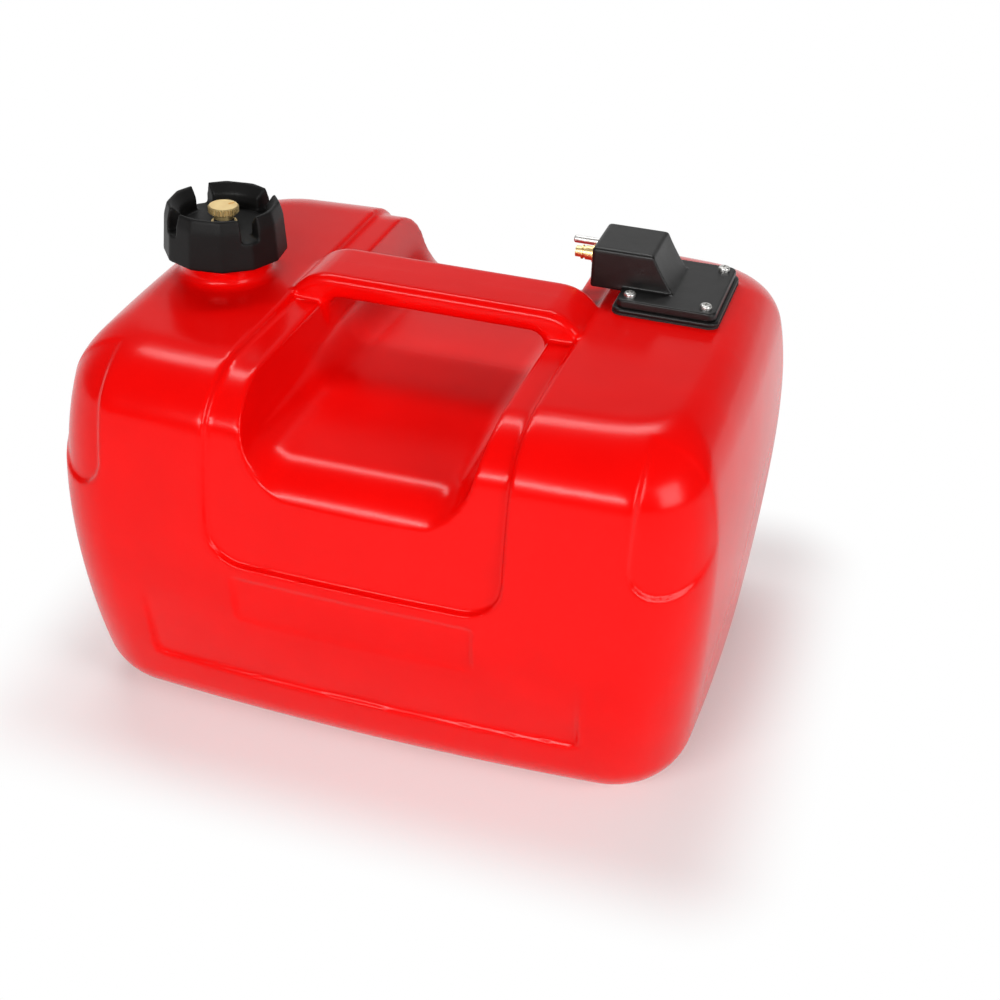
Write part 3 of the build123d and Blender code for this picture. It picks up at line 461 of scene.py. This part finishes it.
class FUELTANK_OT_fittings(bpy.types.Operator):
    """Dress the cap, the outlet and every small fitting"""
    bl_idname = "fueltank.fittings"
    bl_label = "Fittings"

    def execute(self, context):
        settings = context.scene.fueltank_fittings
        colour = tuple(settings.colour)
        cap_plastic = black_moulding("cap_plastic", colour, CAP_ROUGHNESS, CAP_SPECULAR)
        nylon = black_moulding("black_nylon", colour, NYLON_ROUGHNESS, NYLON_SPECULAR)
        rubber = black_rubber()
        brass = turned_metal("turned_brass", BRASS_COLOURS, BRASS_ROUGHNESS)
        steel = turned_metal("plated_steel", STEEL_COLOURS, STEEL_ROUGHNESS)
        natural = natural_plastic()
        moulded = (
            ("filler_cap", "cap", cap_plastic, settings.cap_softness),
            ("outlet_flange", "tank", nylon, settings.softness),
            ("outlet_housing", "tank", nylon, settings.softness),
        )
        for node, body, plastic, softness in moulded:
            piece = moulded_copy(
                node, "moulded_" + node, settings.voxel, softness, settings.triangles)
            finish_piece(piece, node, plastic, body)
        for node in ("cap_gasket", "vent_seal", "outlet_gasket", "nipple_o_ring", "tube_o_ring"):
            dress_node(node, rubber)
        turned_copy("vent_screw", "turned_vent_screw", brass)
        turned_copy("fuel_nipple", "turned_fuel_nipple", brass)
        turned_copy("guide_pin", "turned_guide_pin", steel)
        turned_copy("outlet_screws", "pan_head_screws", steel)
        sprung_copy("valve_spring", "coiled_valve_spring", steel)
        for node in ("vent_bush", "screw_inserts", "valve_poppet", "valve_retainer"):
            dress_node(node, brass)
        for node in ("vent_clip", "strainer_mesh"):
            dress_node(node, steel)
        for node in ("pickup_tube", "pickup_strainer"):
            dress_node(node, natural)
        return {"FINISHED"}


class FUELTANK_OT_stage(bpy.types.Operator):
    """Set the floor, the lamps and the camera"""
    bl_idname = "fueltank.stage"
    bl_label = "Stage"

    def execute(self, context):
        settings = context.scene.fueltank_stage
        bpy.ops.object.select_all(action="DESELECT")
        bpy.ops.mesh.primitive_plane_add(size=FLOOR_SIZE, location=(0, 0, -FLOOR_DROP))
        floor = context.object
        floor.name = "floor"
        floor.data.materials.append(floor_material(tuple(settings.floor_colour)))
        set_world()
        for lamp in LAMPS:
            add_lamp(*lamp)
        add_camera(settings.lens)
        return {"FINISHED"}


def seen_directly(tree):
    """One for the rays that show the picture's background: camera, glossy and transmission rays."""
    path = tree.nodes.new("ShaderNodeLightPath")
    first = add_node(tree, "ShaderNodeMath", operation="MAXIMUM")
    second = add_node(tree, "ShaderNodeMath", operation="MAXIMUM")
    tree.links.new(path.outputs["Is Camera Ray"], first.inputs[0])
    tree.links.new(path.outputs["Is Glossy Ray"], first.inputs[1])
    tree.links.new(first.outputs[0], second.inputs[0])
    tree.links.new(path.outputs["Is Transmission Ray"], second.inputs[1])
    return second.outputs[0]


def distance_outside_tank(tree):
    """How far a point of the floor lies outside the tank's footprint."""
    place = tree.nodes.new("ShaderNodeTexCoord")
    folded = add_node(tree, "ShaderNodeVectorMath", operation="ABSOLUTE")
    beyond = add_node(tree, "ShaderNodeVectorMath", operation="SUBTRACT")
    low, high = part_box("tank_body")
    beyond.inputs[1].default_value = (high[0], high[1], 0)
    outside = add_node(tree, "ShaderNodeVectorMath", operation="MAXIMUM")
    outside.inputs[1].default_value = (0, 0, 0)
    distance = add_node(tree, "ShaderNodeVectorMath", operation="LENGTH")
    tree.links.new(place.outputs["Object"], folded.inputs[0])
    tree.links.new(folded.outputs["Vector"], beyond.inputs[0])
    tree.links.new(beyond.outputs["Vector"], outside.inputs[0])
    tree.links.new(outside.outputs["Vector"], distance.inputs[0])
    return distance.outputs["Value"]


def floor_whiteness(tree):
    """Rises from the shadow beside the tank to plain white, further out in reflections than in view."""
    path = tree.nodes.new("ShaderNodeLightPath")
    white_from = add_node(tree, "ShaderNodeMath", operation="MULTIPLY_ADD")
    white_from.inputs[1].default_value = WHITE_IN_GLOSS
    white_from.inputs[2].default_value = WHITE_FROM
    whiteness = add_node(tree, "ShaderNodeMapRange", interpolation_type="SMOOTHSTEP")
    whiteness.inputs["From Min"].default_value = 0.0
    whiteness.inputs["To Min"].default_value = NEAR_WHITENESS
    whiteness.inputs["To Max"].default_value = 1.0
    tree.links.new(path.outputs["Is Glossy Ray"], white_from.inputs[0])
    tree.links.new(white_from.outputs[0], whiteness.inputs["From Max"])
    tree.links.new(distance_outside_tank(tree), whiteness.inputs["Value"])
    return whiteness.outputs["Result"]


def floor_material(colour):
    """A pale floor that keeps the tank's shadow close by and turns plain white further out."""
    material, tree, shader = tree_of("pale_floor")
    shader.inputs["Base Color"].default_value = (*colour, 1)
    shader.inputs["Roughness"].default_value = FLOOR_ROUGHNESS
    shader.inputs["Specular IOR Level"].default_value = 0.0
    share = add_node(tree, "ShaderNodeMath", operation="MULTIPLY")
    paper = add_node(tree, "ShaderNodeEmission")
    paper.inputs["Color"].default_value = WHITE
    mix = tree.nodes.new("ShaderNodeMixShader")
    output = tree.nodes["Material Output"]
    tree.links.new(floor_whiteness(tree), share.inputs[0])
    tree.links.new(seen_directly(tree), share.inputs[1])
    tree.links.new(share.outputs[0], mix.inputs["Fac"])
    tree.links.new(shader.outputs["BSDF"], mix.inputs[1])
    tree.links.new(paper.outputs["Emission"], mix.inputs[2])
    tree.links.new(mix.outputs["Shader"], output.inputs["Surface"])
    return material


def glossy_backdrop(tree):
    """What gloss sees of the studio: white low down at the back, dim in front and above."""
    backdrop = add_node(tree, "ShaderNodeBackground", Strength=1.0)
    place = tree.nodes.new("ShaderNodeTexCoord")
    facing = add_node(tree, "ShaderNodeVectorMath", operation="DOT_PRODUCT")
    facing.inputs[1].default_value = BACKDROP_SIDE
    fade = add_node(tree, "ShaderNodeMapRange", interpolation_type="SMOOTHSTEP")
    fade.inputs["From Min"].default_value, fade.inputs["From Max"].default_value = BACKDROP_FADE
    fade.inputs["To Min"].default_value = DIM_STUDIO
    fade.inputs["To Max"].default_value = 1.0
    tree.links.new(place.outputs["Generated"], facing.inputs[0])
    tree.links.new(facing.outputs["Value"], fade.inputs["Value"])
    tree.links.new(fade.outputs["Result"], backdrop.inputs["Color"])
    return backdrop.outputs["Background"]


def set_world():
    """A white background in view, an even fill light, and the studio's backdrop in the gloss."""
    world = bpy.context.scene.world or bpy.data.worlds.new("studio")
    bpy.context.scene.world = world
    world.use_nodes = True
    tree = world.node_tree
    tree.nodes.clear()
    output = tree.nodes.new("ShaderNodeOutputWorld")
    fill = add_node(tree, "ShaderNodeBackground", Strength=FILL_LIGHT)
    fill.inputs["Color"].default_value = WHITE
    white = add_node(tree, "ShaderNodeBackground", Strength=1.0)
    white.inputs["Color"].default_value = WHITE
    path = tree.nodes.new("ShaderNodeLightPath")
    plain = tree.nodes.new("ShaderNodeMixShader")
    glossy = tree.nodes.new("ShaderNodeMixShader")
    tree.links.new(seen_directly(tree), plain.inputs["Fac"])
    tree.links.new(fill.outputs["Background"], plain.inputs[1])
    tree.links.new(white.outputs["Background"], plain.inputs[2])
    tree.links.new(path.outputs["Is Glossy Ray"], glossy.inputs["Fac"])
    tree.links.new(plain.outputs["Shader"], glossy.inputs[1])
    tree.links.new(glossy_backdrop(tree), glossy.inputs[2])
    tree.links.new(glossy.outputs["Shader"], output.inputs["Surface"])


def add_lamp(name, place, target, size, power):
    """An oblong softbox that faces its target."""
    data = bpy.data.lights.new(name, "AREA")
    data.shape = "RECTANGLE"
    data.size, data.size_y = size
    data.energy = power
    lamp = bpy.data.objects.new(name, data)
    bpy.context.scene.collection.objects.link(lamp)
    lamp.location = place
    lamp.rotation_mode = "QUATERNION"
    lamp.rotation_quaternion = (Vector(target) - Vector(place)).to_track_quat("-Z", "Y")
    return lamp


def add_camera(lens):
    """The camera stands before the tank, to the right of its middle, and looks down."""
    data = bpy.data.cameras.new("camera")
    data.lens = lens
    data.sensor_width = SENSOR_WIDTH
    data.clip_start, data.clip_end = CLIP_NEAR, CLIP_FAR
    camera = bpy.data.objects.new("camera", data)
    bpy.context.scene.collection.objects.link(camera)
    right = Vector(CAMERA_RIGHT).normalized()
    back = Vector(CAMERA_BACK).normalized()
    up = back.cross(right).normalized()
    right = up.cross(back)
    turn = Matrix((right, up, back)).transposed().to_4x4()
    camera.matrix_world = Matrix.Translation(Vector(CAMERA_PLACE)) @ turn
    bpy.context.scene.camera = camera


# ---------------------------------------------------------------- panel and registration

class FUELTANK_PT_panel(bpy.types.Panel):
    bl_idname = "FUELTANK_PT_panel"
    bl_label = "Fuel Tank"
    bl_space_type = "VIEW_3D"
    bl_region_type = "UI"
    bl_category = "Fuel Tank"

    def draw(self, context):
        layout = self.layout
        for operator in OPERATORS:
            layout.operator(operator.bl_idname)
        for group in ("fueltank_shell", "fueltank_fittings", "fueltank_stage"):
            settings = getattr(context.scene, group)
            for name in settings.bl_rna.properties.keys():
                if name not in ("rna_type", "name"):
                    layout.prop(settings, name)


OPERATORS = (FUELTANK_OT_shell, FUELTANK_OT_fittings, FUELTANK_OT_stage)
SETTINGS = (FUELTANK_PG_shell, FUELTANK_PG_fittings, FUELTANK_PG_stage)


def register():
    for cls in SETTINGS + OPERATORS + (FUELTANK_PT_panel,):
        bpy.utils.register_class(cls)
    bpy.types.Scene.fueltank_shell = bpy.props.PointerProperty(type=FUELTANK_PG_shell)
    bpy.types.Scene.fueltank_fittings = bpy.props.PointerProperty(type=FUELTANK_PG_fittings)
    bpy.types.Scene.fueltank_stage = bpy.props.PointerProperty(type=FUELTANK_PG_stage)


def unregister():
    del bpy.types.Scene.fueltank_stage
    del bpy.types.Scene.fueltank_fittings
    del bpy.types.Scene.fueltank_shell
    for cls in reversed(SETTINGS + OPERATORS + (FUELTANK_PT_panel,)):
        bpy.utils.unregister_class(cls)


def main():
    register()
    bpy.ops.fueltank.shell()
    bpy.ops.fueltank.fittings()
    bpy.ops.fueltank.stage()
    scene = bpy.context.scene
    scene.view_settings.view_transform = "Standard"


if __name__ == "__main__":
    main()
